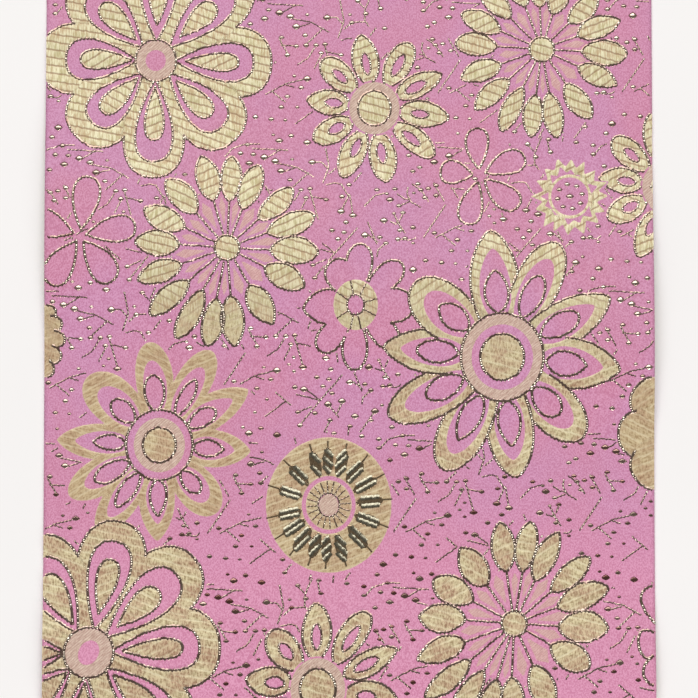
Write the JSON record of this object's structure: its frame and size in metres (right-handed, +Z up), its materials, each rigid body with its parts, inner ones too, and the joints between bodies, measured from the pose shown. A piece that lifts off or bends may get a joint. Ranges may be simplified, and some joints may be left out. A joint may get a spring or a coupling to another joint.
{
  "type": "brocade fabric length",
  "caption": "Flat cut length of pink satin brocade with woven gold flowers, metal-thread outlines and scattered dots, lying in soft swells; dress and furnishing cloth.",
  "frame": {"origin": "middle of the cloth, at the level of the surface it lies on", "axes": "+Y along the cloth's length, to the top of the pattern as pictured; +X across it to the right; +Z up, out of the patterned face"},
  "size_m": [0.256, 0.304, 0.0062],
  "materials": {
    "satin_ground": "satin",
    "gold_figure": "silky ribbed",
    "pale_figure": "fine twill",
    "gilt_thread": "bright metal thread"
  },
  "bodies": {
    "root": {"brocade_cloth": "satin_ground"}
  },
  "joints": []
}
